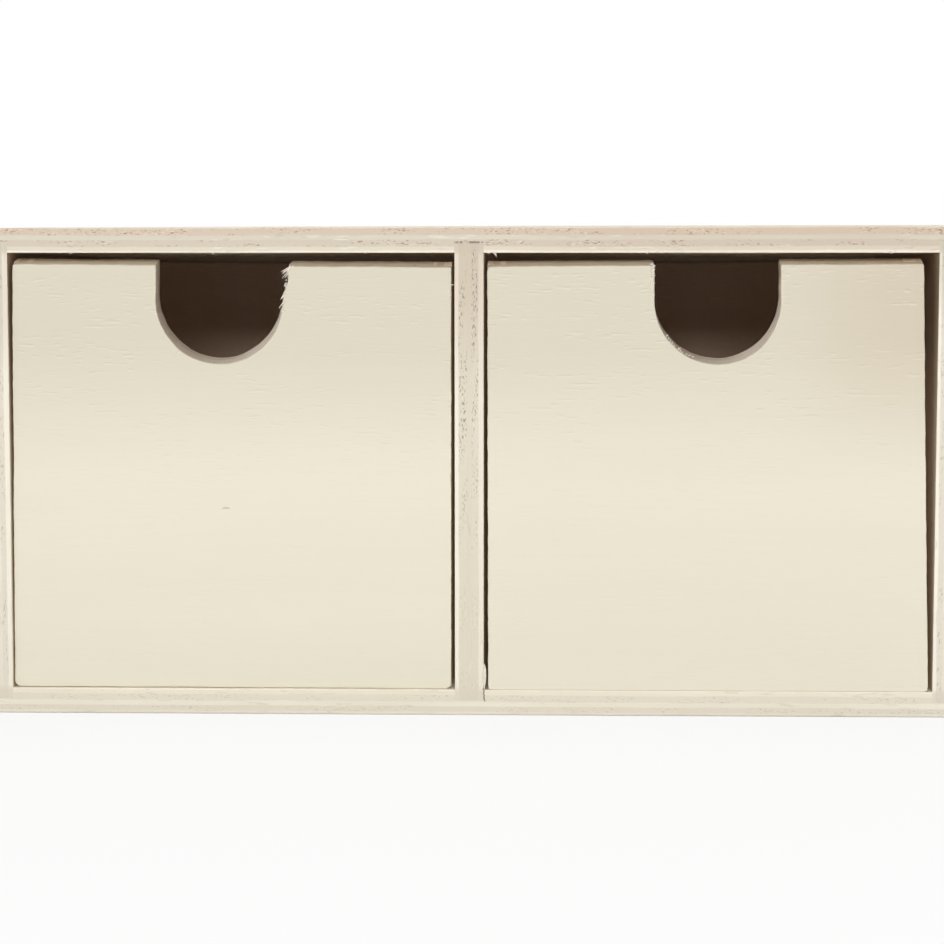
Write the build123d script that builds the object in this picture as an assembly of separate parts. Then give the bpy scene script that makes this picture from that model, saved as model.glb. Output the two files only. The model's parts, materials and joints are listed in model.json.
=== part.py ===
from build123d import *
import math
import os

# A small bare plywood chest with two drawers side by side, in millimetres.
# X runs across the front, +Y to the back and +Z up. The drawers pull out along -Y.
# The origin is the middle of the footprint, on the surface that the chest stands on.
# Every board is one solid. A board that is let into another is cut out of it, so each
# housing, rebate and groove takes its size from the board that it holds.

# Carcass
chest_width = 208.5
chest_depth = 105.0
chest_height = 105.0
panel_thickness = 5.6
divider_thickness = 6.2
back_thickness = 3.0
# How far the sides, the divider and the back are let into the boards that hold them.
housing_depth = 2.3
# Radius that sanding leaves on the outer edges of the glued carcass.
carcass_arris = 0.6

# Clearances of a drawer in its bay
side_play = 1.65
head_gap = 1.6
sole_gap = 0.15
rear_gap = 0.3
front_recess = 1.0
# Each drawer lies to the left of its bay, with the rest of the play on its right.
left_drawer_gap = 0.5
right_drawer_gap = 0.75

# Drawer boards
front_thickness = 5.5
wall_thickness = 4.0
bottom_thickness = 2.5
# Wood left in the front, in front of the ends of the drawer's side boards.
front_lip = 2.0
# How far the back is let into the side boards, and the bottom into all four walls.
back_housing = 2.0
groove_depth = 2.0
# Height of the groove for the drawer's bottom above the lower edge of the drawer.
groove_height = 2.0
front_arris = 0.15

# Finger notch in the top edge of each front, measured on the face
notch_width = 27.2
notch_depth = 21.0
notch_corner = 0.4
# The notch lies this far from the middle of its front, towards the outside of the chest.
notch_offset = 2.1
# The top edge and the notch are cut at this angle, so that they fall towards the face.
cut_angle = 13.0

front_y = -chest_depth / 2
rear_y = chest_depth / 2
outer_x = chest_width / 2
inner_x = outer_x - panel_thickness
floor_z = panel_thickness
ceiling_z = chest_height - panel_thickness
back_face_y = rear_y - back_thickness
bay_width = inner_x - divider_thickness / 2


def board(x_limits, y_limits, z_limits):
    """A plain board that fills the space between three pairs of limits."""
    limits = (x_limits, y_limits, z_limits)
    middle = [(low + high) / 2 for low, high in limits]
    size = [high - low for low, high in limits]
    return Pos(*middle) * Box(*size)


def carcass():
    """The six fixed boards: top, bottom, two sides, the divider and the back."""
    depth = (front_y, rear_y)
    across = (-outer_x, outer_x)
    housed_width = (-inner_x - housing_depth, inner_x + housing_depth)
    housed_height = (floor_z - housing_depth, ceiling_z + housing_depth)
    divider_width = (-divider_thickness / 2, divider_thickness / 2)

    back = board(housed_width, (back_face_y, rear_y), housed_height)
    divider = board(divider_width, (front_y, back_face_y), housed_height)
    left = board((-outer_x, -inner_x), depth, housed_height) - back
    right = board((inner_x, outer_x), depth, housed_height) - back
    top = board(across, depth, (ceiling_z, chest_height))
    bottom = board(across, depth, (0, floor_z))
    for housed in (left, right, divider, back):
        top -= housed
        bottom -= housed

    # The glued carcass is sanded as one block, which rounds only its outer edges.
    block = board(across, depth, (0, chest_height))
    sanded = fillet(block.edges(), carcass_arris)
    return {
        "top_panel": top & sanded,
        "bottom_panel": bottom & sanded,
        "left_side": left & sanded,
        "right_side": right & sanded,
        "centre_divider": divider,
        "back_panel": back,
    }


def front_outline(x_limits, low_z, face_top, notch_x):
    """The face of a front in X and Z, with the notch and its rounded mouth."""
    left, right = x_limits
    notch_radius = notch_width / 2
    notch_centre = face_top - notch_depth + notch_radius
    straight = face_top - notch_centre
    plain = Pos((left + right) / 2, (low_z + face_top) / 2) * Rectangle(right - left, face_top - low_z)
    round_end = Pos(notch_x, notch_centre) * Circle(notch_radius)
    throat = Pos(notch_x, notch_centre + straight / 2) * Rectangle(notch_width, straight)
    face = plain - round_end - throat
    top_corners = face.vertices().group_by(Axis.Y)[-1].sort_by(Axis.X)
    return fillet(top_corners[1:-1], notch_corner)


def drawer_front(x_limits, y_limits, z_limits, notch_x):
    """The front board with its finger notch, before the other boards are let into it."""
    face_y, inner_y = y_limits
    low_z, high_z = z_limits
    angle = math.radians(cut_angle)
    rise = (inner_y - face_y) * math.tan(angle)
    # The outline reaches below the board, so that the slanted cut misses its lower edge.
    outline = front_outline(x_limits, low_z - 2 * rise, high_z - rise, notch_x)
    upright = Plane(origin=(0, face_y, 0), x_dir=(1, 0, 0), z_dir=(0, -1, 0))
    slant = Vector(0, math.cos(angle), math.sin(angle))
    slanted = extrude(upright * outline, (inner_y - face_y) / math.cos(angle), dir=slant)
    front = slanted & board(x_limits, y_limits, z_limits)
    face = front.faces().sort_by(Axis.Y)[0]
    return fillet(face.edges(), front_arris)


def top_waste(x_limits, y_limits, high_z):
    """What the slanted cut along the top of the front takes off the boards let into it."""
    face_y, inner_y = y_limits
    fall = (inner_y - face_y) * math.tan(math.radians(cut_angle))
    wedge = Polyline((face_y, high_z - fall), (inner_y, high_z), (face_y, high_z), close=True)
    return extrude(Plane.YZ.offset(x_limits[0]) * make_face(wedge), x_limits[1] - x_limits[0])


def drawer(left_x, outward):
    """One drawer whose left end is at left_x, with its notch towards outward, -1 or 1."""
    right_x = left_x + bay_width - side_play
    face_y = front_y + front_recess
    inner_y = face_y + front_thickness
    end_y = back_face_y - rear_gap
    high_z = ceiling_z - head_gap
    across = (left_x, right_x)
    front_depth = (face_y, inner_y)
    height = (floor_z + sole_gap, high_z)

    waste = top_waste(across, front_depth, high_z)
    side_length = (face_y + front_lip, end_y)
    left = board((left_x, left_x + wall_thickness), side_length, height) - waste
    right = board((right_x - wall_thickness, right_x), side_length, height) - waste

    back_inset = wall_thickness - back_housing
    back_width = (left_x + back_inset, right_x - back_inset)
    back = board(back_width, (end_y - wall_thickness, end_y), height)

    bottom_inset = wall_thickness - groove_depth
    bottom_z = height[0] + groove_height
    bottom = board(
        (left_x + bottom_inset, right_x - bottom_inset),
        (inner_y - groove_depth, end_y - bottom_inset),
        (bottom_z, bottom_z + bottom_thickness),
    )
    notch_x = (left_x + right_x) / 2 + outward * notch_offset
    front = drawer_front(across, front_depth, height, notch_x)
    return {
        "front": front - left - right - bottom,
        "left_side": left - back - bottom,
        "right_side": right - back - bottom,
        "back": back - bottom,
        "bottom": bottom,
    }


def write(name, shape):
    """Writes one board, which has to be one solid."""
    solids = shape.solids()
    if len(solids) != 1:
        raise ValueError(f"{name} has {len(solids)} solids")
    export_step(solids[0], f"parts/{name}.step")


os.makedirs("parts", exist_ok=True)
for name, shape in carcass().items():
    write(name, shape)
for name, shape in drawer(-inner_x + left_drawer_gap, -1).items():
    write(f"left_drawer_{name}", shape)
for name, shape in drawer(divider_thickness / 2 + right_drawer_gap, 1).items():
    write(f"right_drawer_{name}", shape)
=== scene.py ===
from itertools import accumulate
import json
import math
import random

import bmesh
import bpy
from mathutils import Matrix, Vector, noise


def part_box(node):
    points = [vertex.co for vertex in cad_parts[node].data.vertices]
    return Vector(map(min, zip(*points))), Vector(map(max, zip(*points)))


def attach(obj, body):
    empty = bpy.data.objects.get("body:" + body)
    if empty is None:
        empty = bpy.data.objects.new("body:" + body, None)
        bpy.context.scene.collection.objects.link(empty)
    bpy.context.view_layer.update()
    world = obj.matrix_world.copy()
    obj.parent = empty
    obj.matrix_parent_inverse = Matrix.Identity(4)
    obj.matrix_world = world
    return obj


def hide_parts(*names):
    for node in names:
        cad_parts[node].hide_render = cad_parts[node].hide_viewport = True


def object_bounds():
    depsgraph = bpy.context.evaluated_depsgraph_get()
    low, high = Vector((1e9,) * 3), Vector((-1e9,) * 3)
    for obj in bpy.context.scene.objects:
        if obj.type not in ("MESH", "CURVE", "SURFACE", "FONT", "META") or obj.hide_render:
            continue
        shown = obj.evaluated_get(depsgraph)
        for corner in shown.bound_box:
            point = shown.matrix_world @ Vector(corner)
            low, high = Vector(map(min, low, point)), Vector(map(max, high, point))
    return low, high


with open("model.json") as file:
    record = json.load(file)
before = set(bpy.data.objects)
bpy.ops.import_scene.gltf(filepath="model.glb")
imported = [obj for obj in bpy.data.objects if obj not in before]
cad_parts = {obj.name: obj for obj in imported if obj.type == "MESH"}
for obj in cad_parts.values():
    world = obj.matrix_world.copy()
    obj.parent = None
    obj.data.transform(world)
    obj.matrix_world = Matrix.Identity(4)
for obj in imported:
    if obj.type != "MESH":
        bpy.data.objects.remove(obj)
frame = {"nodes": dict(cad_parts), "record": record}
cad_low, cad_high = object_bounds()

# A small chest of bare plywood with two drawers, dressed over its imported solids.
# Lengths are in millimetres until they are divided by MM. Blender works in metres.
MM = 1000.0
X, Y, Z = 0, 1, 2

BODIES = frame["record"]["behaviour"]["bodies"]
# Boards: the axis through the thickness, the axis of the face grain and the slot
BOARDS = {
    "top_panel": (Z, X, "panel_ply"),
    "bottom_panel": (Z, X, "panel_ply"),
    "left_side": (X, Z, "panel_ply"),
    "right_side": (X, Z, "panel_ply"),
    "centre_divider": (X, Z, "divider_ply"),
    "back_panel": (Y, X, "thin_ply"),
}
DRAWER_BOARDS = {
    "front": (Y, X, "front_ply"),
    "left_side": (X, Y, "wall_ply"),
    "right_side": (X, Y, "wall_ply"),
    "back": (Y, X, "wall_ply"),
    "bottom": (Z, X, "thin_ply"),
}
for side in ("left", "right"):
    for board_name, facts in DRAWER_BOARDS.items():
        BOARDS[f"{side}_drawer_{board_name}"] = facts


def srgb(red, green, blue):
    """A colour on screen, from 0 to 255, in the linear values of a shader."""
    def linear(value):
        value /= 255
        return value / 12.92 if value <= 0.04045 else ((value + 0.055) / 1.055) ** 2.4
    return (linear(red), linear(green), linear(blue), 1.0)


class Nodes:
    """Short ways to add nodes to a material or the world, and to join them."""

    def __init__(self, owner):
        owner.use_nodes = True
        self.owner, self.tree = owner, owner.node_tree
        self.tree.nodes.clear()

    def node(self, kind, inputs=(), **settings):
        """A new node. Each input gets a number, a colour or the output of another node."""
        made = self.tree.nodes.new("ShaderNode" + kind)
        for name, value in settings.items():
            setattr(made, name, value)
        for name, value in dict(inputs).items():
            if isinstance(value, bpy.types.NodeSocket):
                self.tree.links.new(value, made.inputs[name])
            else:
                made.inputs[name].default_value = value
        return made

    def math(self, operation, *values):
        return self.node("Math", enumerate(values), operation=operation).outputs[0]

    def times(self, first, *others):
        for value in others:
            first = self.math("MULTIPLY", first, value)
        return first

    def plus(self, first, second):
        return self.math("ADD", first, second)

    def minus(self, first, second):
        return self.math("SUBTRACT", first, second)

    def size(self, value):
        return self.math("ABSOLUTE", value)

    def rise(self, value, start, end, low=0.0, high=1.0):
        """low up to start and high from end on, with a smooth rise between them."""
        inputs = {"Value": value, "From Min": start, "From Max": end, "To Min": low, "To Max": high}
        made = self.node("MapRange", inputs, interpolation_type="SMOOTHSTEP")
        return made.outputs["Result"]

    def fall(self, value, start, end):
        return self.rise(value, start, end, 1.0, 0.0)

    def vector(self, *parts):
        return self.node("CombineXYZ", enumerate(parts)).outputs[0]

    def split(self, vector):
        return list(self.node("SeparateXYZ", {0: vector}).outputs)

    def noise(self, vector, detail=2.0, roughness=0.5):
        inputs = {"Vector": vector, "Scale": 1.0, "Detail": detail, "Roughness": roughness}
        return self.node("TexNoise", inputs).outputs["Fac"]

    def blend(self, factor, first, second):
        """A mix of two numbers."""
        inputs = {0: factor, 2: first, 3: second}
        return self.node("Mix", inputs, data_type="FLOAT").outputs[0]

    def tint(self, factor, first, second, kind="MIX"):
        """A mix of two colours."""
        inputs = {0: factor, 6: first, 7: second}
        return self.node("Mix", inputs, data_type="RGBA", blend_type=kind).outputs[2]

    def ramp(self, factor, stops):
        """A colour for each place, with straight changes between the stops."""
        made = self.node("ValToRGB", {0: factor})
        elements = made.color_ramp.elements
        while len(elements) < len(stops):
            elements.new(0.5)
        for element, (place, value) in zip(elements, stops):
            element.position = place
            element.color = value
        return made.outputs[0]

    def shown_ray(self):
        """1 for a ray straight from the camera, from a reflection or through glass."""
        path = self.node("LightPath")
        shown = path.outputs["Is Camera Ray"]
        for name in ("Is Glossy Ray", "Is Transmission Ray"):
            shown = self.math("MAXIMUM", shown, path.outputs[name])
        return shown


# Camera, light and floor

LENS, SENSOR = 91.53, 36
CAMERA_PLACE = (17.91, -563.42, 93.84)
CAMERA_YAW = math.radians(-1.939)
CAMERA_PITCH = math.radians(4.61)
CAMERA_ROLL = math.radians(0.043)

# Soft square lamps that face the chest: place and size in metres, and power
LAMPS = {
    "key_light": ((0.02, -1.10, 0.45), 0.32, 5.72),
    "left_light": ((-0.60, -1.00, 0.35), 0.6, 1.2),
    "right_light": ((0.60, -1.00, 0.35), 0.6, 0.2),
    "front_light": ((0.02, -1.20, 0.095), 0.35, 0.25),
    "top_light": ((0.1, 0.2, 1.2), 0.8, 5.0),
    "rear_light": ((0.3, 1.3, 0.6), 0.9, 7.0),
    "left_side_light": ((-1.2, 0.35, 0.5), 0.8, 2.0),
    "right_side_light": ((1.2, 0.35, 0.5), 0.8, 2.0),
}
LAMP_TARGET = (0, 0, 0.05)
# The backdrop looks white, and gives a little light of its own
WHITE = (1, 1, 1, 1)
WORLD_COLOUR, WORLD_STRENGTH = (1, 0.99, 0.97, 1), 0.30
FLOOR_COLOUR = (0.82, 0.82, 0.81, 1)
FLOOR_REACH = 8.0
# How much of its light the floor gives off by itself: where that changes, in metres from the
# footprint of the chest, and the share near it and far away
FLOOR_GLOW = (0.05, 0.40, 0.85, 1.0)


def new_object(name, data):
    """A new object in the scene."""
    made = bpy.data.objects.new(name, data)
    bpy.context.scene.collection.objects.link(made)
    return made


def make_camera():
    """The camera, where the edges of the carcass say that it stood."""
    data = bpy.data.cameras.new("camera")
    data.lens = LENS
    data.sensor_width = SENSOR
    data.clip_start = 0.01
    data.clip_end = 20
    camera = new_object("camera", data)
    turn = Matrix.Rotation(-CAMERA_YAW, 4, "Z")
    turn @= Matrix.Rotation(math.pi / 2 - CAMERA_PITCH, 4, "X")
    turn @= Matrix.Rotation(-CAMERA_ROLL, 4, "Z")
    camera.matrix_world = Matrix.Translation(Vector(CAMERA_PLACE) / MM) @ turn
    bpy.context.scene.camera = camera


def make_lamps():
    """Soft light from above the camera, and weaker light from all round."""
    for name, (place, size, power) in LAMPS.items():
        data = bpy.data.lights.new(name, "AREA")
        data.shape = "SQUARE"
        data.size = size
        data.energy = power
        lamp = new_object(name, data)
        facing = (Vector(LAMP_TARGET) - Vector(place)).to_track_quat("-Z", "Y")
        lamp.matrix_world = Matrix.Translation(place) @ facing.to_matrix().to_4x4()
        lamp.visible_camera = False


def make_world():
    """A white backdrop that gives only a little light of its own."""
    world = bpy.data.worlds.new("studio")
    bpy.context.scene.world = world
    shader = Nodes(world)
    lit, seen = [
        shader.node("Background", {"Color": colour, "Strength": strength}).outputs[0]
        for colour, strength in ((WORLD_COLOUR, WORLD_STRENGTH), (WHITE, 1.0))
    ]
    mix = shader.node("MixShader", {0: shader.shown_ray(), 1: lit, 2: seen})
    shader.node("OutputWorld", {"Surface": mix.outputs[0]})


def floor_material():
    """Pale paint that keeps the shadow of the chest and turns white farther away."""
    shader = Nodes(bpy.data.materials.new("floor"))
    place = shader.split(shader.node("TexCoord").outputs["Object"])
    squares = []
    for axis in (X, Y):
        past = shader.minus(shader.size(place[axis]), cad_high[axis])
        past = shader.math("MAXIMUM", past, 0.0)
        squares.append(shader.times(past, past))
    away = shader.math("SQRT", shader.plus(*squares))
    share = shader.times(shader.shown_ray(), shader.rise(away, *FLOOR_GLOW))
    paint = shader.node("BsdfDiffuse", {"Color": FLOOR_COLOUR}).outputs[0]
    glow = shader.node("Emission", {"Color": WHITE, "Strength": 1.0}).outputs[0]
    mix = shader.node("MixShader", {0: share, 1: paint, 2: glow})
    shader.node("OutputMaterial", {"Surface": mix.outputs[0]})
    return shader.owner


def make_floor():
    """A plain square floor."""
    reach = FLOOR_REACH
    mesh = bpy.data.meshes.new("floor")
    corners = [(-reach, -reach, 0), (reach, -reach, 0), (reach, reach, 0), (-reach, reach, 0)]
    mesh.from_pydata(corners, [], [(0, 1, 2, 3)])
    mesh.materials.append(floor_material())
    new_object("floor", mesh)


# Plywood: what each board looks like

def plies(*rows):
    """Plies from the outer face inwards: the share of the thickness and the colour of each."""
    return [(share, srgb(*colour)) for share, *colour in rows]


# The thin last ply of the top and of the bottom, on their faces towards the drawers, is paler than
# the rest: a painted highlight along their edges
TOP_PLIES = plies(
    (0.08, 230, 221, 204), (0.27, 216, 199, 180), (0.18, 216, 208, 192),
    (0.25, 213, 201, 184), (0.16, 221, 212, 195), (0.06, 247, 239, 222),
)
BOTTOM_PLIES = plies(
    (0.14, 234, 226, 212), (0.20, 228, 220, 203), (0.20, 235, 229, 212),
    (0.24, 229, 223, 205), (0.16, 235, 227, 209), (0.06, 244, 236, 218),
)
SIDE_PLIES = plies(
    (0.15, 231, 223, 208), (0.24, 226, 217, 203), (0.19, 231, 224, 209),
    (0.20, 229, 221, 206), (0.22, 241, 234, 219),
)
RIGHT_SIDE_PLIES = SIDE_PLIES[:-1] + plies((0.22, 247, 241, 228))
DIVIDER_PLIES = plies(
    (0.14, 243, 236, 220), (0.29, 226, 219, 201), (0.15, 222, 214, 197),
    (0.24, 226, 218, 201), (0.18, 235, 227, 212),
)
FRONT_PLIES = plies(
    (0.15, 231, 225, 207), (0.24, 218, 204, 184), (0.22, 214, 202, 183),
    (0.22, 196, 182, 161), (0.17, 224, 212, 193),
)
WALL_PLIES = plies((0.30, 226, 210, 190), (0.40, 206, 187, 165), (0.30, 226, 210, 190))
# The backs of the drawers are darker than the walls: painted shade for the dim inside of a drawer
BACK_PLIES = plies((0.30, 216, 192, 168), (0.40, 206, 186, 163), (0.30, 216, 192, 168))
THIN_PLIES = plies((0.28, 226, 213, 192), (0.44, 208, 190, 166), (0.28, 226, 213, 192))
WARM_PORES = srgb(152, 120, 92)
GREY_PORES = srgb(132, 119, 101)
DASH_HIGHLIGHT_COLOUR = srgb(243, 238, 224)
TORN_COLOUR = srgb(240, 228, 208)
GLUE_COLOUR = srgb(196, 176, 150)
HOUSED_COLOUR = srgb(219, 210, 194)
JOINT_COLOUR = srgb(112, 100, 88)
SPLIT_COLOUR = srgb(88, 72, 52)
DENT_SHADE_COLOUR = srgb(202, 193, 175)
NOTCH_HIGHLIGHT_COLOUR = srgb(252, 238, 222)

# The plies of a board, the colour and the strength of its pores, and the side of its outer
# face: -1 for low and 1 for high
LOOKS = {
    "top_panel": (TOP_PLIES, WARM_PORES, 1.0, 1),
    "bottom_panel": (BOTTOM_PLIES, GREY_PORES, 0.42, -1),
    "left_side": (SIDE_PLIES, GREY_PORES, 0.5, -1),
    "right_side": (RIGHT_SIDE_PLIES, GREY_PORES, 0.5, 1),
    "centre_divider": (DIVIDER_PLIES, GREY_PORES, 1.0, -1),
    "back_panel": (THIN_PLIES, WARM_PORES, 0.6, 1),
    "front": (FRONT_PLIES, WARM_PORES, 0.7, -1),
    "bottom": (THIN_PLIES, WARM_PORES, 0.6, -1),
    "back": (BACK_PLIES, WARM_PORES, 0.7, 1),
    "wall": (WALL_PLIES, WARM_PORES, 0.7, -1),
}
# The second and fourth ply lie across the others
CROSSED_PLIES = (1, 3)
# How soft the change between plies is, and how far the plies wander over a distance
PLY_SOFTNESS = {"panel_ply": 0.18, "divider_ply": 0.18}
OTHER_SOFTNESS, GLUE_HALF_WIDTH = 0.10, 0.05
LONG_WANDER, SHORT_WANDER = 0.5, 0.18

# Patterns of noise: the scale for each millimetre along the grain, across it and through the
# board, and then the detail and the roughness
PATTERNS = {
    "long_wander": (0.05, 0.05, 0.0, 3.0, 0.5),
    "short_wander": (0.9, 0.9, 0.0, 2.0, 0.5),
    "streak": (0.05, 1.6, 1.6, 4.0, 0.5),
    "crossed_streak": (1.6, 0.05, 1.6, 4.0, 0.5),
    "fine": (0.16, 6.0, 6.0, 3.0, 0.5),
    "crossed_fine": (6.0, 0.16, 6.0, 3.0, 0.5),
    "broad": (0.006, 0.06, 0.3, 2.0, 0.5),
    "ring_bend": (0.008, 0.024, 0.024, 3.0, 0.5),
    "ring_patch": (0.012, 0.03, 0.03, 2.0, 0.5),
    "dash": (0.26, 1.75, 1.75, 2.0, 0.5),
    "dash_patch": (0.05, 0.12, 0.12, 2.0, 0.5),
    "pore": (1.1, 1.1, 3.4, 3.0, 0.6),
    "pore_patch": (0.11, 0.11, 0.6, 3.0, 0.5),
    "torn": (1.4, 1.4, 4.1, 2.0, 0.5),
    "glue": (0.25, 0.25, 0.0, 2.0, 0.5),
}
# Patterns that show in spots: where a spot starts and is full, and how strong that is
SPOTS = {
    "ring_patch": (0.35, 0.65, 0.15, 1.0),
    "dash": (0.57, 0.70),
    "dash_patch": (0.42, 0.60, 0.15, 1.0),
    "pore_patch": (0.42, 0.58),
    "torn": (0.57, 0.68),
    "glue": (0.40, 0.65, 0.0, 0.45),
}
# How far the patterns move from one board to the next
ALONG_STEP, ACROSS_STEP = 31.7, 17.9
# What counts as facing the front or the back
FACES_FRONT = (0.3, 0.6)
# How strongly each pattern changes the shade of the wood
STREAK_STRENGTH, FINE_STRENGTH, BROAD_STRENGTH, END_GRAIN_SHADE = 0.035, 0.012, 0.07, 0.03
# Growth rings: how close they lie, how far they bend and how strong they are
RING_TURN, RING_BEND, RING_STRENGTH = 0.4, 52.0, 0.055
# Dashes: how far the light ones lie beside the dark ones, as a painted highlight on their lit
# side, their strengths, and their share on the drawer walls and up the fronts
DASH_SHIFT, DASH_HIGHLIGHTS, DARK_DASHES, WALL_DASHES = 0.30, 0.40, 0.17, 0.4
FRONT_DASHES = (45, 80, 0.15, 0.72)
# Pores and torn fibres: where they start in their pattern, and their strengths
PORE_START, DIVIDER_PORE_START, PORE_RISE = 0.54, 0.51, 0.11
PORE_STRENGTH, TORN_STRENGTH = 0.8, 0.55
# The pores in the edge of the divider are weaker towards its foot
DIVIDER_PORES = (25, 65, 0.2, 1.0)

# Slow changes of tone over whole boards: the axes along which a tone grows, each with its
# start and end, and the tone. The fronts are darker above, which is painted shade; the right
# one is darker still at its upper right corner, and the right half of the top is browner.
FRONT_PAINTED_SHADE = (((Z, 50, 84),), (0.868, 0.858, 0.845, 1.0))
CORNER_TONE = (((Z, 50, 84), (X, 62, 92)), (0.94, 0.90, 0.87, 1.0))
TONES = {
    "left_drawer_front": [FRONT_PAINTED_SHADE],
    "right_drawer_front": [FRONT_PAINTED_SHADE, CORNER_TONE],
    "top_panel": [(((X, -20, 45),), (0.955, 0.935, 0.925, 1.0))],
}
# Painted shade on the inner faces of the carcass sides: browner, most of all at their upper end
INNER_SHADE_HEIGHTS = (55, 92)
INNER_SHADE_FOOT = (0.74, 0.65, 0.56, 1.0)
INNER_SHADE_TOP = (0.43, 0.34, 0.26, 1.0)
# Painted shade on the edges of a front, browner towards its inner face
FRONT_EDGE_SHADE_DEPTHS = (0.70, 0.95)
FRONT_EDGE_SHADE = (0.80, 0.77, 0.74, 1.0)
# Painted light and shade on the sawn surface of a notch: it is lighter than other edges where
# it faces left or up, and darker where it faces right
NOTCH_HIGHLIGHT_SHARE, NOTCH_HIGHLIGHT_SHARE_LEFT = 0.30, 0.90
NOTCH_PAINTED_SHADE = (0.83, 0.80, 0.79, 1.0)
# Painted shade on the front edges of the upright boards, browner towards the top: where this
# starts and ends, and the tone
EDGE_SHADES = {
    "left_side": (68, 88, (0.87, 0.855, 0.850, 1.0)),
    "right_side": (80, 97, (0.83, 0.82, 0.80, 1.0)),
    "centre_divider": (64, 96, (0.86, 0.81, 0.785, 1.0)),
}
# Small dents, painted as shade with a painted highlight on the lip below: the place in X and Z,
# half the length and half the height
DENTS = {
    "left_drawer_front": (-52.4, 44.7, 1.0, 0.26),
    "right_drawer_front": (92.7, 91.5, 0.9, 0.26),
}
DENT_SHADE_STRENGTH, DENT_LIP_HIGHLIGHT = 0.9, 0.3
# Boards whose ends are let into the top and bottom: how deep, how pale the end is and how
# dark the joint above the divider
LET_IN = ("left_side", "right_side", "centre_divider")
HOUSING_DEPTH, HOUSED_SHARE, DIVIDER_JOINT = 2.3, 0.8, 0.75
# Where the crack at the foot of the divider runs, in X and from low to high
SPLIT_X = 3.15
SPLIT_LOW, SPLIT_HIGH, SPLIT_FADE = 2.9, 6.2, 0.4
SPLIT_WAVE, SPLIT_STRENGTH = 1.5, 0.85
# Light that reaches the faces along the narrow gaps by more bounces than are traced: its
# colour, how far behind the front of the chest it grows, and what counts as along a gap
DEEP_LIGHT = (0.008, 0.0050, 0.0034, 1.0)
DEEP_START, DEEP_END = 1.2, 4.0
GAP_SIDES = ("top_panel", "left_side", "right_side", "centre_divider")
ALONG_GAP = (0.8, 0.95)
# The bumps and the shine of the wood, and how its roughness follows the streaks
BUMP_STRENGTH, BUMP_DISTANCE, FINE_BUMP, SHINE = 0.5, 0.04, 0.25, 0.3
ROUGHNESS = (0.3, 0.7, 0.62, 0.74)


def grey(value):
    return (value, value, value, 1.0)


class Wood(Nodes):
    """A board while its material is made: its nodes, its box and how its surface lies."""

    def __init__(self, node, number):
        super().__init__(bpy.data.materials.new(f"{node}_plywood"))
        self.name = node
        self.thin, self.grain, self.slot = BOARDS[node]
        self.cross = X + Y + Z - self.thin - self.grain
        self.low, self.high = [Vector(corner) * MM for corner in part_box(node)]
        self.thickness = self.high[self.thin] - self.low[self.thin]
        where = self.node("TexCoord")
        self.place = [self.times(axis, MM) for axis in self.split(where.outputs["Object"])]
        self.normal = self.split(where.outputs["Normal"])
        self.facing = [self.size(axis) for axis in self.normal]
        self.along = self.plus(self.place[self.grain], ALONG_STEP * number)
        self.across = self.plus(self.place[self.cross], ACROSS_STEP * number)
        self.through = self.place[self.thin]

    def pattern(self, name, shift=0.0):
        """A pattern of noise on this board, moved across the grain by the shift."""
        *scales, detail, roughness = PATTERNS[name]
        across = self.plus(self.across, shift)
        parts = zip((self.along, across, self.through), scales)
        scaled = [self.times(part, scale) for part, scale in parts]
        return self.noise(self.vector(*scaled), detail, roughness)

    def spots(self, name, shift=0.0):
        """The spots of a pattern."""
        return self.rise(self.pattern(name, shift), *SPOTS[name])

    def faces_front(self):
        """1 where the surface faces the front or the back."""
        return self.rise(self.facing[Y], *FACES_FRONT)

    def faces_aside(self):
        """1 where the surface doesn't face the front or the back."""
        return self.fall(self.facing[Y], *FACES_FRONT)


def look_of(node):
    """The plies, pores and outer side of a board."""
    if node in LOOKS:
        return LOOKS[node]
    return LOOKS.get(node.rsplit("_", 1)[-1], LOOKS["wall"])


def ply_edges(plies):
    """Where one ply meets the next, as shares of the thickness."""
    return list(accumulate(share for share, _ in plies[:-1]))


def depth_in(wood):
    """0 at the low face of a board and 1 at its high face, with plies that wander a little."""
    place = wood.through
    for name, amount in (("long_wander", LONG_WANDER), ("short_wander", SHORT_WANDER)):
        wander = wood.minus(wood.pattern(name), 0.5)
        place = wood.plus(place, wood.times(wander, amount))
    raised = wood.minus(place, wood.low[wood.thin])
    return wood.math("DIVIDE", raised, wood.thickness)


def layered(wood, depth, edges, values):
    """A value for each ply, with a narrow change at each meeting of two plies."""
    soft = PLY_SOFTNESS.get(wood.slot, OTHER_SOFTNESS) / wood.thickness
    stops = [(0.0, values[0])]
    for number, edge in enumerate(edges):
        stops += [(edge - soft, values[number]), (edge + soft, values[number + 1])]
    return wood.ramp(depth, stops)


def growth_rings(wood, end_grain):
    """Bent rings on the broad faces, stronger in some places than in others."""
    bend = wood.times(wood.pattern("ring_bend"), RING_BEND)
    rings = wood.math("SINE", wood.plus(bend, wood.times(wood.across, RING_TURN)))
    patch = wood.spots("ring_patch")
    rings = wood.times(rings, wood.minus(1.0, end_grain), patch)
    return wood.plus(wood.times(rings, 0.5), 0.5)


def shaded_wood(wood, tone, end_grain, streak, fine):
    """The colour of the plies, lighter and darker along the grain."""
    broad = wood.pattern("broad")
    parts = [(streak, STREAK_STRENGTH), (fine, FINE_STRENGTH), (broad, BROAD_STRENGTH)]
    if wood.slot != "front_ply":
        parts.append((growth_rings(wood, end_grain), RING_STRENGTH))
    shade = 1.0
    for value, strength in parts:
        offset = wood.times(wood.minus(value, 0.5), strength)
        shade = wood.plus(shade, offset)
    shade = wood.minus(shade, wood.times(end_grain, END_GRAIN_SHADE))
    inputs = {0: tone, "Scale": shade}
    return wood.node("VectorMath", inputs, operation="SCALE").outputs[0]


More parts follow.
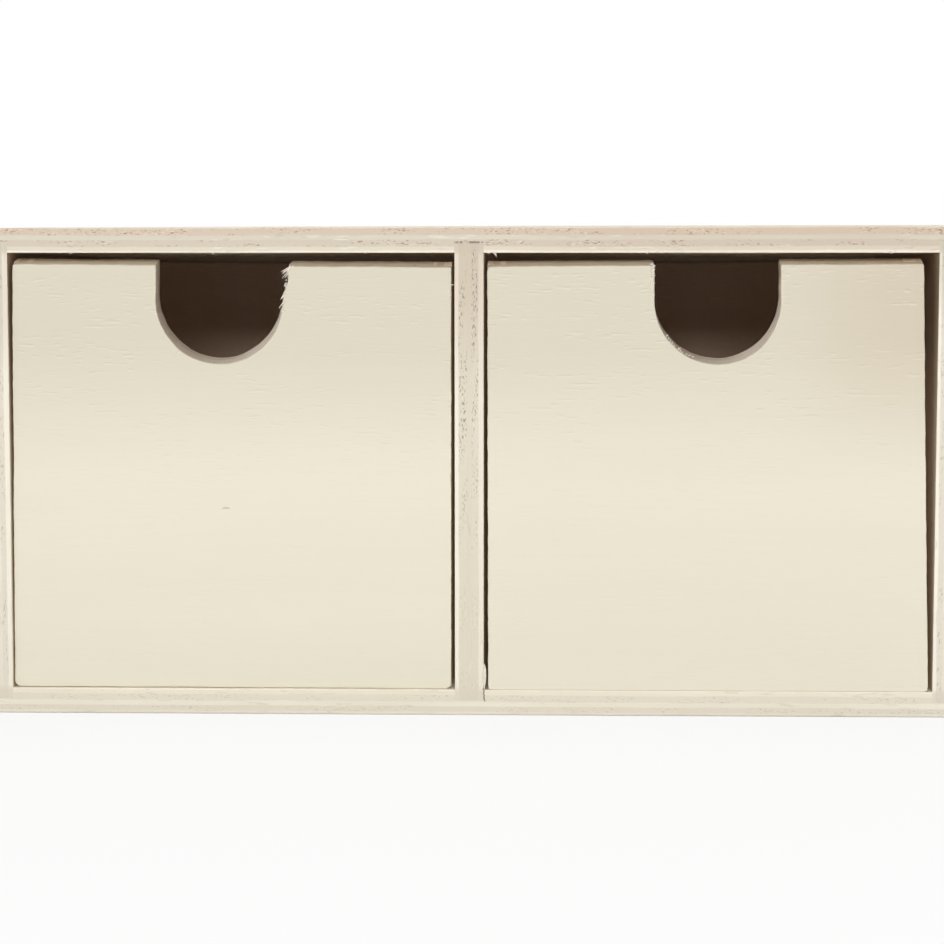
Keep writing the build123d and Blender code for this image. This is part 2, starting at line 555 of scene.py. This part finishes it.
def tones_and_painted_shade(wood, colour):
    """Slow changes of tone across a whole board, with painted shade towards the top of the fronts.
    """
    for limits, tone in TONES.get(wood.name, []):
        rises = [wood.rise(wood.place[axis], start, end) for axis, start, end in limits]
        colour = wood.tint(wood.times(*rises), colour, tone, "MULTIPLY")
    return colour


def dashed(wood, colour, end_grain):
    """Short dark dashes in the face veneer, in patches, with light dashes beside them as a painted
    highlight.
    """
    dark = wood.spots("dash")
    # The light dashes are the dark ones moved across the grain: a painted highlight
    light = wood.spots("dash", DASH_SHIFT)
    patch = wood.spots("dash_patch")
    veneer = wood.times(patch, wood.minus(1.0, end_grain))
    if wood.slot == "wall_ply":
        veneer = wood.times(veneer, WALL_DASHES)
    if wood.slot == "front_ply":
        veneer = wood.times(veneer, wood.rise(wood.place[Z], *FRONT_DASHES))
    colour = wood.tint(wood.times(light, veneer, DASH_HIGHLIGHTS), colour, DASH_HIGHLIGHT_COLOUR)
    return wood.tint(wood.times(dark, veneer, DARK_DASHES), colour, GREY_PORES)


def painted_dent(wood, colour):
    """A shallow dent painted on a face: painted shade in it and a painted highlight on the lip
    below.
    """
    x, z, half_length, half_height = DENTS[wood.name]
    aside = wood.math("DIVIDE", wood.minus(wood.place[X], x), half_length)
    bow = wood.times(aside, aside, half_height)
    dent = (z, DENT_SHADE_COLOUR, DENT_SHADE_STRENGTH)
    lip = (z - 2.0 * half_height, TORN_COLOUR, DENT_LIP_HIGHLIGHT)
    for middle, mark_colour, strength in (dent, lip):
        level = wood.plus(wood.minus(wood.place[Z], middle), bow)
        level = wood.math("DIVIDE", level, half_height)
        away = wood.plus(wood.times(aside, aside), wood.times(level, level))
        mark = wood.rise(away, 0.2, 1.3, strength, 0.0)
        colour = wood.tint(mark, colour, mark_colour)
    return colour


def front_edge_painted_shade(wood, colour, depth):
    """Painted shade through the edges of a front, browner towards its inner face."""
    share = wood.times(wood.rise(depth, *FRONT_EDGE_SHADE_DEPTHS), wood.faces_aside())
    return wood.tint(share, colour, FRONT_EDGE_SHADE, "MULTIPLY")


def notch_painted_light(wood, colour):
    """Painted highlight and shade on the sawn surface of the finger notch in a front, by how it
    faces.
    """
    middle = NOTCH_X[wood.name.replace("_front", "")]
    aside = wood.size(wood.minus(wood.place[X], middle))
    near = wood.fall(aside, NOTCH_RADIUS + 2, NOTCH_RADIUS + 3)
    below = wood.fall(wood.place[Z], NOTCH_TOP - 3, NOTCH_TOP)
    sawn = wood.times(near, wood.faces_aside(), below)
    turned = wood.rise(wood.normal[X], -0.7, 0.1, NOTCH_HIGHLIGHT_SHARE_LEFT, NOTCH_HIGHLIGHT_SHARE)
    colour = wood.tint(wood.times(sawn, turned), colour, NOTCH_HIGHLIGHT_COLOUR)
    right = wood.rise(wood.normal[X], 0.1, 0.5)
    return wood.tint(wood.times(sawn, right), colour, NOTCH_PAINTED_SHADE, "MULTIPLY")


def inner_painted_shade(wood, colour):
    """Painted shade on the face of a carcass side that its drawer runs along, browner upwards."""
    inner_x = wood.high[X] if wood.name == "left_side" else wood.low[X]
    from_face = wood.size(wood.minus(wood.place[X], inner_x))
    near = wood.fall(from_face, 1.0, 2.0)
    inner = wood.times(near, wood.rise(wood.facing[X], 0.85, 0.99))
    up = wood.rise(wood.place[Z], *INNER_SHADE_HEIGHTS)
    tone = wood.tint(up, INNER_SHADE_FOOT, INNER_SHADE_TOP)
    return wood.tint(inner, colour, tone, "MULTIPLY")


def open_pores(wood, end_grain, patch):
    """1 at the pores of end grain, in patches."""
    start = DIVIDER_PORE_START if wood.name == "centre_divider" else PORE_START
    pore = wood.rise(wood.pattern("pore"), start, start + PORE_RISE)
    pore = wood.times(pore, patch, end_grain)
    if wood.name == "centre_divider":
        pore = wood.times(pore, wood.rise(wood.place[Z], *DIVIDER_PORES))
    return pore


def glue_lines(wood, depth, edges):
    """Broken lines of glue between the plies, on the edges of the board."""
    half_width = GLUE_HALF_WIDTH / wood.thickness
    stops = [(0.0, grey(0))]
    for edge in edges:
        stops += [(edge - half_width, grey(0)), (edge, grey(1)), (edge + half_width, grey(0))]
    on_edges = wood.fall(wood.facing[wood.thin], 0.5, 0.9)
    return wood.times(wood.ramp(depth, stops), wood.spots("glue"), on_edges)


def ends_let_in(wood, colour):
    """The end of a board that is let into another, and the joint above the divider."""
    place = wood.place[wood.grain]
    to_low = wood.minus(place, wood.low[wood.grain])
    to_high = wood.minus(wood.high[wood.grain], place)
    to_end = wood.math("MINIMUM", to_low, to_high)
    on_edge = wood.faces_front()
    level = wood.rise(to_end, 1.6, HOUSING_DEPTH + 0.9, HOUSED_SHARE, 0.0)
    colour = wood.tint(wood.times(level, on_edge), colour, HOUSED_COLOUR)
    if wood.name != "centre_divider":
        return colour
    scaled = [wood.times(part, 1.3) for part in (wood.across, wood.through)]
    broken = wood.rise(wood.noise(wood.vector(*scaled, 0.0), detail=3.0), 0.40, 0.56)
    line = wood.rise(to_high, 0.22, 0.60, DIVIDER_JOINT, 0.0)
    return wood.tint(wood.times(line, broken, on_edge), colour, JOINT_COLOUR)


def edge_painted_shade(wood, colour):
    """Painted shade up the front and rear edges of an upright board, browner towards the top."""
    low, high, tone = EDGE_SHADES[wood.name]
    upper = wood.times(wood.rise(wood.place[Z], low, high), wood.faces_front())
    return wood.tint(upper, colour, tone, "MULTIPLY")


def split_at_foot(wood, colour):
    """A thin crack where the foot of the divider meets the right side of its housing."""
    place = wood.place
    wave = wood.noise(wood.vector(0.0, 0.0, wood.times(place[Z], 1.1)), detail=2.0)
    wave = wood.times(wood.minus(wave, 0.5), SPLIT_WAVE)
    line = wood.plus(wave, SPLIT_X)
    away = wood.size(wood.minus(place[X], line))
    crack = wood.rise(away, 0.05, 0.22, SPLIT_STRENGTH, 0.0)
    above = wood.rise(place[Z], SPLIT_LOW, SPLIT_LOW + SPLIT_FADE)
    below = wood.fall(place[Z], SPLIT_HIGH, SPLIT_HIGH + SPLIT_FADE)
    return wood.tint(wood.times(crack, above, below), colour, SPLIT_COLOUR)


def deep_share(wood):
    """How much of the deep light a surface along a narrow gap gets."""
    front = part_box("top_panel")[0][Y] * MM
    deep = wood.rise(wood.place[Y], front + DEEP_START, front + DEEP_END)
    if wood.name == "top_panel":
        ceiling = wood.low[Z]
        near = wood.fall(wood.place[Z], ceiling + 0.3, ceiling + 0.6)
        return wood.times(deep, near, wood.rise(wood.facing[Z], *ALONG_GAP))
    side_face = abs(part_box("left_side")[1][X] * MM)
    within = wood.fall(wood.size(wood.place[X]), side_face + 0.7, side_face + 1.0)
    return wood.times(deep, within, wood.rise(wood.facing[X], *ALONG_GAP))


def wood_surface(wood, colour, streak, height):
    """The shader itself: sanded wood without varnish."""
    bump_inputs = {"Strength": BUMP_STRENGTH, "Distance": BUMP_DISTANCE / MM, "Height": height}
    inputs = {
        "Base Color": colour,
        "Roughness": wood.rise(streak, *ROUGHNESS),
        "Specular IOR Level": SHINE,
        "Normal": wood.node("Bump", bump_inputs).outputs[0],
    }
    if wood.name in GAP_SIDES or "drawer" in wood.name and wood.name.endswith("side"):
        inputs["Emission Color"] = DEEP_LIGHT
        inputs["Emission Strength"] = deep_share(wood)
    surface = wood.node("BsdfPrincipled", inputs)
    wood.node("OutputMaterial", {"Surface": surface.outputs[0]})


def ply_material(node, number):
    """Bare sanded plywood, laid out from the board's own box."""
    wood = Wood(node, number)
    plies, pore_colour, pore_strength, outer_side = look_of(node)
    crossings = [grey(place in CROSSED_PLIES) for place in range(len(plies))]
    if outer_side > 0:
        plies, crossings = plies[::-1], crossings[::-1]
    edges = ply_edges(plies)
    depth = depth_in(wood)
    crossed = layered(wood, depth, edges, crossings)
    tone = layered(wood, depth, edges, [colour for _, colour in plies])

    # End grain shows where a ply's grain runs out through the surface
    ending = wood.blend(crossed, wood.facing[wood.grain], wood.facing[wood.cross])
    end_grain = wood.rise(ending, 0.35, 0.85)
    streak = wood.blend(crossed, wood.pattern("streak"), wood.pattern("crossed_streak"))
    fine = wood.blend(crossed, wood.pattern("fine"), wood.pattern("crossed_fine"))
    colour = shaded_wood(wood, tone, end_grain, streak, fine)
    # The slow tones bring painted shade towards the top of the fronts
    colour = tones_and_painted_shade(wood, colour)
    colour = dashed(wood, colour, end_grain)
    # A painted dent, and painted shade and light on the edges and the notch of each front
    if node in DENTS:
        colour = painted_dent(wood, colour)
        colour = front_edge_painted_shade(wood, colour, depth)
        colour = notch_painted_light(wood, colour)
    # Painted shade on the inner faces of the carcass sides
    if node in SIDE_MOVES:
        colour = inner_painted_shade(wood, colour)

    patch = wood.spots("pore_patch")
    pore = open_pores(wood, end_grain, patch)
    colour = wood.tint(wood.times(pore, PORE_STRENGTH * pore_strength), colour, pore_colour)
    torn = wood.times(wood.spots("torn"), patch, end_grain)
    colour = wood.tint(wood.times(torn, TORN_STRENGTH * pore_strength), colour, TORN_COLOUR)
    colour = wood.tint(glue_lines(wood, depth, edges), colour, GLUE_COLOUR)

    if node in LET_IN:
        colour = ends_let_in(wood, colour)
        # Painted shade up the front edges of the upright boards
        colour = edge_painted_shade(wood, colour)
    if node in ("centre_divider", "bottom_panel"):
        colour = split_at_foot(wood, colour)
    height = wood.minus(wood.times(fine, FINE_BUMP), pore)
    wood_surface(wood, colour, streak, height)
    return wood.owner


# Boards: the shape of each one

# Points closer than this become one, flatter edges than this go, sharper ones get rounded,
# and edges sharper than the last angle look sharp
MERGE_DISTANCE = 0.002
FLAT_ANGLE = math.radians(0.5)
SHARP_ANGLE = math.radians(50)
SMOOTH_ANGLE = math.radians(25)
# Boards touch where they are closer than this, and a cut keeps points that are this close
TOUCH = 0.02
CUT_REACH = 0.001
# A broad face is larger than this and lies across the thickness of its board
BROAD_AREA = 60.0
BROAD_TURN = 0.99
# The length of the steps that edges are cut into, and the rounding of sharp edges
EDGE_STEP, FRONT_STEP = 1.0, 0.7
ARRIS, OTHER_ARRIS, ARRIS_SEGMENTS = {"wall_ply": 0.3, "thin_ply": 0.15}, 0.22, 3
# How uneven the edges are: the length and the height of each wave
ROUGHNESS_WAVES = ((5.0, 0.035), (1.7, 0.025))
FRONT_WAVES = ((9.0, 0.07), (2.6, 0.07), (1.3, 0.05))

# The four corners of a drawer or a front come in this order: low left, low right, high left
# and high right. How far each corner of a drawer is out of true, in X and Z:
DRAWER_CORNERS = {
    "left_drawer": ((-0.55, -0.02), (0.3, -0.11), (0.27, 0.45), (0.42, -0.43)),
    "right_drawer": ((0.19, -0.12), (0.45, -0.12), (0, -0.22), (-1.6, 0.25)),
}
# How much of the rounding along the lower edge of each front is left
LOWER_ROUNDING = {"left_drawer": 0.6, "right_drawer": 0.1}
ROUNDING_HEIGHT = 0.35
# The middle, radius and upper end of each notch, and how far it is from its place in the
# solids, towards X
NOTCH_X = {"left_drawer": -53.3, "right_drawer": 52.9}
NOTCH_RADIUS, NOTCH_TOP = 13.6, 95.0
NOTCH_MOVES = {"left_drawer": -0.43, "right_drawer": 0.60}
NOTCH_MOVE_REACH = (16.0, 34.0)
# How far the face of a front stands forward at its foot
FOOT_FORWARD = {"left_drawer": 0.0, "right_drawer": 0.85}
# How much the corners of the fronts are worn off, and over what distance
CORNER_WEAR = {"left_drawer": (0.42, 0.36, 0.12, 0.06), "right_drawer": (0.12, 0.20, 0.20, 0.06)}
CORNER_REACH = 0.9
# The inner faces of the carcass sides, towards X, at the foot and at the top
SIDE_MOVES = {"left_side": (-0.22, -0.05), "right_side": (0.42, 0.62)}
# How far above and below a side its shoulders move with it, and where this fades out
SHOULDER_REACH, SHOULDER_FADE = 0.15, (0.5, 3.0)
# The mouth of the left notch is worn wider on its right: how far, where it grows upwards and
# where it ends past the rim
FLARE_WIDTH = 1.2
FLARE_HEIGHTS, FLARE_REACH = (88.5, 94.5), (0.8, 8.0)
# The saw leaned over low on the right of the left notch, in the same way
LEAN_WIDTH = 0.75
LEAN_HEIGHTS, LEAN_REACH = (86.0, 92.0), (0.5, 6.0)
# How far the top edge of a front falls from the back to its face
TOP_BEVEL_FALL = 1.27
# The top is sanded thinner towards the left, and its underside is lower on the right: how
# far, and between which shares of its thickness
TOP_FALL, TOP_SHARES = 0.32, (0.45, 0.9)
UNDERSIDE_FALL, UNDERSIDE_SHARES = 0.22, (0.1, 0.4)
# Between which shares of its thickness the inner part of a carcass side moves
SIDE_SHARES = (0.4, 0.95)


def body_of(node):
    """The body that a board is on."""
    for body, members in BODIES.items():
        if node in members:
            return body


def joined_boards(node):
    """The boxes of the other boards on the same body, as pairs of corners."""
    return [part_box(other) for other in BODIES[body_of(node)] if other != node]


def whole_faces(node):
    """A copy of a CAD board with each flat face in one piece."""
    board = bmesh.new()
    board.from_mesh(frame["nodes"][node].data)
    bmesh.ops.remove_doubles(board, verts=board.verts, dist=MERGE_DISTANCE / MM)
    bmesh.ops.dissolve_limit(
        board, angle_limit=FLAT_ANGLE, use_dissolve_boundaries=False,
        verts=board.verts, edges=board.edges,
    )
    return board


def cut(board, axis, place, faces=None):
    """Cuts faces of a mesh along a plane across one axis."""
    chosen = board.faces[:] if faces is None else faces
    # A dict keeps its order, so that the cut comes out the same each time
    edges = dict.fromkeys(edge for face in chosen for edge in face.edges)
    verts = dict.fromkeys(vert for edge in edges for vert in edge.verts)
    normal = Vector()
    normal[axis] = 1
    bmesh.ops.bisect_plane(
        board, geom=[*verts, *edges, *chosen], dist=CUT_REACH / MM,
        plane_co=normal * place, plane_no=normal,
    )


def split_at_joints(board, node):
    """Cuts a board along the planes of the boards that it is joined to."""
    low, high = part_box(node)
    for corners in joined_boards(node):
        for axis in (X, Y, Z):
            for corner in corners:
                if low[axis] + TOUCH / MM < corner[axis] < high[axis] - TOUCH / MM:
                    cut(board, axis, corner[axis])


def inside(point, box):
    """True for a point in a box or on its surface."""
    low, high = box
    touch = TOUCH / MM
    return all(low[axis] - touch < point[axis] < high[axis] + touch for axis in (X, Y, Z))


def is_exposed(edge, boxes):
    """True for a sharp outer edge that no other board covers."""
    if len(edge.link_faces) != 2 or edge.calc_face_angle_signed() < SHARP_ANGLE:
        return False
    middle = (edge.verts[0].co + edge.verts[1].co) / 2
    return not any(inside(middle, box) for box in boxes)


def ease_edges(board, node):
    """Rounds the sharp edges that sandpaper reaches."""
    boxes = joined_boards(node)
    edges = [edge for edge in board.edges if is_exposed(edge, boxes)]
    arris = ARRIS.get(BOARDS[node][2], OTHER_ARRIS) / MM
    bmesh.ops.bevel(
        board, geom=edges, offset=arris, offset_type="OFFSET",
        profile_type="SUPERELLIPSE", segments=ARRIS_SEGMENTS, profile=0.5, affect="EDGES",
        clamp_overlap=True, material=-1, loop_slide=True,
    )


def mark_broad_faces(board, thin):
    """Marks the large flat faces of a board, which stay flat and in one piece."""
    broad = board.faces.layers.int.new("broad")
    for face in board.faces:
        large = face.calc_area() * MM * MM > BROAD_AREA
        face[broad] = int(large and abs(face.normal[thin]) > BROAD_TURN)
    return broad


def cut_edges_fine(board, node, broad):
    """Cuts the narrow faces of a board into short lengths that can be uneven."""
    thin = BOARDS[node][0]
    step = FRONT_STEP if node.endswith("front") else EDGE_STEP
    low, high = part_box(node)
    for axis in (X, Y, Z):
        if axis == thin:
            continue
        count = int((high[axis] - low[axis]) * MM / step)
        for number in range(1, count):
            narrow = [face for face in board.faces if not face[broad]]
            cut(board, axis, low[axis] + number * step / MM, narrow)


def roughen(board, node, broad):
    """Makes the edges of a board slightly uneven, and leaves its faces flat."""
    thin = BOARDS[node][0]
    waves = FRONT_WAVES if node.endswith("front") else ROUGHNESS_WAVES
    for vert in board.verts:
        shift = Vector()
        for wave, amount in waves:
            shift += noise.noise_vector(vert.co * MM / wave) * amount / MM
        if any(face[broad] for face in vert.link_faces):
            shift[thin] = 0
        vert.co += shift


def smooth_share(value, start, end):
    """0 up to start and 1 from end on, with a smooth rise between them."""
    share = min(max((value - start) / (end - start), 0.0), 1.0)
    return share * share * (3 - 2 * share)


def shares_of(place, low, high):
    """How far a point is to the right and up in a box, from 0 to 1."""
    return (place.x - low.x) / (high.x - low.x), (place.z - low.z) / (high.z - low.z)


def drawer_shift(place, corners, low, high):
    """How far a point of a drawer is from true, from the shifts of its corners."""
    right, up = shares_of(place, low, high)
    shares = ((1 - right) * (1 - up), right * (1 - up), (1 - right) * up, right * up)
    shift_x, shift_z = [
        sum(share * corner[part] for share, corner in zip(shares, corners)) for part in (0, 1)
    ]
    return Vector((shift_x, 0, shift_z))


def left_notch_shift(place, face_y, inner_y):
    """The worn mouth and the leaning saw cut of the left notch, towards X."""
    from_middle = place.x - NOTCH_X["left_drawer"]
    if from_middle <= 0:
        return Vector()
    past = from_middle - NOTCH_RADIUS
    flare = FLARE_WIDTH * smooth_share(place.z, *FLARE_HEIGHTS)
    flare *= 1 - smooth_share(past, *FLARE_REACH)
    flare *= smooth_share(from_middle, 0.5 * NOTCH_RADIUS, NOTCH_RADIUS)
    deep = (place.y - face_y) / (inner_y - face_y)
    lean = LEAN_WIDTH * deep * (1 - smooth_share(place.z, *LEAN_HEIGHTS))
    lean *= smooth_share(from_middle, 0.0, 0.6 * NOTCH_RADIUS)
    lean *= 1 - smooth_share(past, *LEAN_REACH)
    return Vector((flare - lean, 0, 0))


def top_shift(place, low, high):
    """The uneven thickness of the top."""
    right, up = shares_of(place, low, high)
    fall = TOP_FALL * (1 - right) ** 3 * smooth_share(up, *TOP_SHARES)
    fall += UNDERSIDE_FALL * right * (1 - smooth_share(up, *UNDERSIDE_SHARES))
    return Vector((0, 0, -fall))


def front_shift(place, body, low, high):
    """The notch, foot and corners of a front, as they are off their true places."""
    far = abs(place.x - NOTCH_X[body])
    move = NOTCH_MOVES[body] * (1 - smooth_share(far, *NOTCH_MOVE_REACH))
    drop = 0.0
    if place.z - low.z < ROUNDING_HEIGHT:
        drop = (place.z - low.z) * (1 - LOWER_ROUNDING[body])
    down = (high.z - place.z) / (high.z - low.z)
    shallow = (high.y - place.y) / (high.y - low.y)
    shift = Vector((move, -FOOT_FORWARD[body] * shallow * down ** 2, -drop))
    corners = [
        (x, z, inward_x, inward_z)
        for z, inward_z in ((low.z, 1), (high.z - TOP_BEVEL_FALL, -1))
        for x, inward_x in ((low.x, 1), (high.x, -1))
    ]
    for most, (x, z, inward_x, inward_z) in zip(CORNER_WEAR[body], corners):
        wear = most * max(0.0, 1 - math.hypot(place.x - x, place.z - z) / CORNER_REACH)
        shift += Vector((inward_x * wear, 0, inward_z * wear))
    return shift


def side_shift(place, node, low, high):
    """Moves the inner face of a carcass side, and leaves its outer face."""
    right, up = shares_of(place, low, high)
    inner = right if node == "left_side" else 1 - right
    at_foot, at_top = SIDE_MOVES[node]
    move = at_foot + (at_top - at_foot) * up
    return Vector((move * smooth_share(inner, *SIDE_SHARES), 0, 0))


def shoulder_shift(place, boxes):
    """Moves the shoulder of a housing with the side that is let into it."""
    for side, (at_foot, at_top) in SIDE_MOVES.items():
        low, high = boxes[side]
        inner_x = high.x if side == "left_side" else low.x
        if low.z - SHOULDER_REACH < place.z < high.z + SHOULDER_REACH:
            move = at_top if place.z > (low.z + high.z) / 2 else at_foot
            near = 1 - smooth_share(abs(place.x - inner_x), *SHOULDER_FADE)
            if near:
                return Vector((move * near, 0, 0))
    return Vector()


def body_box(body):
    """The lowest and highest corner of a body, in millimetres."""
    boxes = [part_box(node) for node in BODIES[body]]
    low = Vector([min(box[0][axis] for box in boxes) for axis in (X, Y, Z)])
    high = Vector([max(box[1][axis] for box in boxes) for axis in (X, Y, Z)])
    return low * MM, high * MM


def put_out_of_true(board, node):
    """Gives a board the small errors of shape that the real one has."""
    body = body_of(node)
    boxes = {
        name: [Vector(corner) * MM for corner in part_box(name)] for name in (node, *SIDE_MOVES)
    }
    low, high = boxes[node]
    whole_low, whole_high = body_box(body)
    for vert in board.verts:
        place = vert.co * MM
        shift = Vector()
        if node == "left_drawer_front":
            shift += left_notch_shift(place, low.y, high.y)
        if node.endswith("drawer_front"):
            shift += front_shift(place, body, low, high)
        if node in SIDE_MOVES:
            shift += side_shift(place, node, low, high)
        if node in ("top_panel", "bottom_panel"):
            shift += shoulder_shift(place, boxes)
        if node == "top_panel":
            shift += top_shift(place, low, high)
        if body in DRAWER_CORNERS:
            shift += drawer_shift(place, DRAWER_CORNERS[body], whole_low, whole_high)
        vert.co += shift / MM


def add_piece(name, worked, body, material):
    """Puts a worked mesh in the scene as a piece that rides on a body."""
    mesh = bpy.data.meshes.new(name)
    worked.to_mesh(mesh)
    worked.free()
    mesh.materials.append(material)
    piece = new_object(name, mesh)
    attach(piece, body)
    return piece


def finish_board(board, node, number):
    """The piece that stands for a CAD board."""
    board.normal_update()
    for face in board.faces:
        face.smooth = True
    for edge in board.edges:
        edge.smooth = len(edge.link_faces) != 2 or edge.calc_face_angle() < SMOOTH_ANGLE
    material = ply_material(node, number)
    piece = add_piece(f"{node}_board", board, body_of(node), material)
    modifier = piece.modifiers.new("weighted_normals", "WEIGHTED_NORMAL")
    modifier.keep_sharp = True
    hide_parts(node)


def make_board(node, number):
    """One board, from its CAD solid."""
    board = whole_faces(node)
    split_at_joints(board, node)
    ease_edges(board, node)
    broad = mark_broad_faces(board, BOARDS[node][0])
    cut_edges_fine(board, node, broad)
    roughen(board, node, broad)
    board.faces.layers.int.remove(broad)
    put_out_of_true(board, node)
    finish_board(board, node, number)


# Torn fibres and a splinter

# Single fibres along sawn edges: the place of the root in X and Z, the direction in degrees
# and the length
FIBRES = {
    "left_drawer": [
        (-37.4, 96.5, 200, 1.8), (-37.9, 96.2, 212, 2.1), (-38.1, 96.0, 205, 1.7),
        (-38.4, 95.7, 228, 1.4), (-38.2, 96.3, 207, 2.3), (-38.4, 96.0, 214, 2.0),
        (-38.5, 95.4, 222, 2.1), (-38.6, 94.9, 230, 1.2), (-39.1, 92.9, 236, 0.9),
        (-39.3, 91.2, 244, 2.2), (-39.4, 90.5, 238, 1.2), (-39.6, 88.9, 233, 1.8),
        (-39.7, 87.6, 240, 1.0), (-65.9, 81.6, 300, 0.7), (-62.3, 77.9, 40, 0.8),
        (-67.2, 86.2, 20, 0.6), (-4.0, 92.4, 8, 0.8), (-4.1, 90.9, 150, 0.7),
        (-4.1, 90.2, 200, 0.6), (-4.2, 89.6, 165, 0.5),
    ],
    "right_drawer": [
        (38.8, 96.3, 12, 0.9), (38.6, 95.9, 320, 1.0), (38.9, 95.4, 35, 0.8),
        (38.6, 94.9, 300, 0.9), (38.9, 94.3, 20, 0.7), (38.8, 93.6, 280, 1.0),
        (39.0, 93.0, 340, 0.6), (38.9, 92.2, 262, 0.8), (39.1, 90.6, 300, 0.5),
        (66.7, 95.2, 200, 0.6), (60.2, 77.1, 150, 0.6), (44.0, 77.7, 30, 0.6),
    ],
    "carcass": [
        (5.1, 99.5, 305, 1.4), (5.6, 99.5, 285, 0.8), (3.9, 99.4, 330, 0.6),
        (-54.9, 99.5, 320, 0.7), (37.9, 99.5, 250, 0.6), (39.8, 99.5, 345, 1.5),
        (40.6, 99.5, 350, 1.2), (90.1, 99.5, 200, 1.2), (89.2, 99.5, 190, 0.9),
        (-84.6, 99.5, 215, 0.8), (72.0, 99.5, 330, 0.6), (-21.5, 99.5, 210, 0.6),
    ],
}
# Rims that are frayed all along: the rim in X and Z, how far the roots lie beside it, the
# directions, the lengths and how many fibres there are
LEFT_MOUTH = ((-38.2, 97.0), (-38.7, 94.6), (-39.4, 91.0), (-40.0, 86.5))
RIGHT_MOUTH = ((39.9, 97.2), (39.9, 94.8), (39.95, 92.4))
RIGHT_FLOOR = ((42.0, 81.7), (43.5, 79.6), (45.7, 78.0), (48.2, 76.9))
FRAYED = {
    "left_drawer": [(LEFT_MOUTH, (0.0, 0.5), (205, 245), (0.3, 0.7), 20)],
    "right_drawer": [
        (RIGHT_MOUTH, (-1.7, -0.8), (230, 380), (0.3, 0.7), 30),
        (RIGHT_FLOOR, (-0.5, -0.1), (5, 85), (0.3, 0.65), 14),
    ],
}
# The width of a fibre at its root, the share of it that is lost at the tip, its steps, its
# greatest bend in degrees, how fast it goes back and how deep its root may be
FIBRE_WIDTH, FIBRE_TAPER, FIBRE_STEPS = 0.3, 0.7, 4
FIBRE_BEND, FIBRE_LEAN, FIBRE_ROOTS = 14, 0.1, (-0.16, 0.02)
FIBRE_COLOUR = srgb(247, 238, 226)
# The scale of the pattern of torn wood for each millimetre, and its darker share
TORN_SCALE, TORN_DARK = 1.4, 0.82

# The outline of the splinter at the foot of the divider, in X and Z, and its depth
SPLINTER = [
    (2.95, 5.62), (3.28, 5.70), (3.36, 6.3), (3.55, 7.1),
    (3.62, 8.4), (3.60, 9.9), (3.38, 10.8), (2.95, 11.5),
]
SPLINTER_DEPTH = (-52.3, -50.9)


def close_rings(mesh, rings):
    """Faces between rings of points, and one at each end."""
    for first, second in zip(rings, rings[1:]):
        for number in range(len(first)):
            after = (number + 1) % len(first)
            mesh.faces.new((first[number], first[after], second[after], second[number]))
    mesh.faces.new(rings[0][::-1])
    mesh.faces.new(rings[-1])


def add_fibre(mesh, root, angle, length, turn):
    """One closed, tapering and slightly bent fibre."""
    place, heading, rings = Vector(root), math.radians(angle), []
    for step in range(FIBRE_STEPS + 1):
        width = FIBRE_WIDTH * (1 - FIBRE_TAPER * step / FIBRE_STEPS)
        side = Vector((-math.sin(heading), 0, math.cos(heading))) * width / 2
        deep = Vector((0, width / 2, 0))
        rings.append([mesh.verts.new((place + part) / MM) for part in (side, deep, -side, -deep)])
        ahead = Vector((math.cos(heading), FIBRE_LEAN, math.sin(heading)))
        place = place + ahead * length / FIBRE_STEPS
        heading += math.radians(turn) / FIBRE_STEPS
    close_rings(mesh, rings)


def detail_material(name, colour):
    """Pale torn wood, with a little change of tone."""
    shader = Nodes(bpy.data.materials.new(name))
    place = shader.node("TexCoord").outputs["Object"]
    inputs = {0: place, "Scale": TORN_SCALE * MM}
    grain = shader.node("VectorMath", inputs, operation="SCALE").outputs[0]
    tone = shader.rise(shader.noise(grain, detail=3.0), 0.3, 0.7)
    darker = tuple(TORN_DARK * part for part in colour[:3]) + (1.0,)
    colour = shader.tint(tone, darker, colour)
    inputs = {"Base Color": colour, "Roughness": 0.8, "Specular IOR Level": 0.2}
    surface = shader.node("BsdfPrincipled", inputs)
    shader.node("OutputMaterial", {"Surface": surface.outputs[0]})
    return shader.owner


def add_detail(name, mesh, body, colour):
    """Puts a small piece of torn wood in the scene."""
    bmesh.ops.recalc_face_normals(mesh, faces=mesh.faces)
    add_piece(name, mesh, body, detail_material(name, colour))


def frayed_rims(body, chance):
    """Fibres at random places along the frayed rims of a body, described as in FIBRES."""
    fibres = []
    for rim, beside, angles, lengths, count in FRAYED.get(body, []):
        for number in range(count):
            along = (number + chance.random()) / count * (len(rim) - 1)
            part = min(int(along), len(rim) - 2)
            ends = zip(rim[part], rim[part + 1])
            x, z = [low + (along - part) * (high - low) for low, high in ends]
            x += chance.uniform(*beside)
            fibres.append((x, z, chance.uniform(*angles), chance.uniform(*lengths)))
    return fibres


def make_fibres(body, chance):
    """The torn fibres of one body."""
    mesh = bmesh.new()
    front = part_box("top_panel" if body == "carcass" else f"{body}_front")[0][Y] * MM
    for x, z, angle, length in FIBRES[body] + frayed_rims(body, chance):
        depth = front + chance.uniform(*FIBRE_ROOTS)
        add_fibre(mesh, (x, depth, z), angle, length, chance.uniform(-FIBRE_BEND, FIBRE_BEND))
    add_detail(f"{body}_fibres", mesh, body, FIBRE_COLOUR)


def make_splinter():
    """The strip of veneer that stands off the divider at its foot."""
    mesh = bmesh.new()
    close_rings(mesh, [
        [mesh.verts.new((x / MM, y / MM, z / MM)) for x, z in SPLINTER] for y in SPLINTER_DEPTH
    ])
    add_detail("centre_divider_splinter", mesh, "carcass", DIVIDER_PLIES[-1][1])


make_camera()
make_lamps()
make_world()
make_floor()
for number, node in enumerate(BOARDS):
    make_board(node, number)
chance = random.Random(7)
for body in FIBRES:
    make_fibres(body, chance)
make_splinter()

bpy.context.scene.view_settings.view_transform = "Standard"
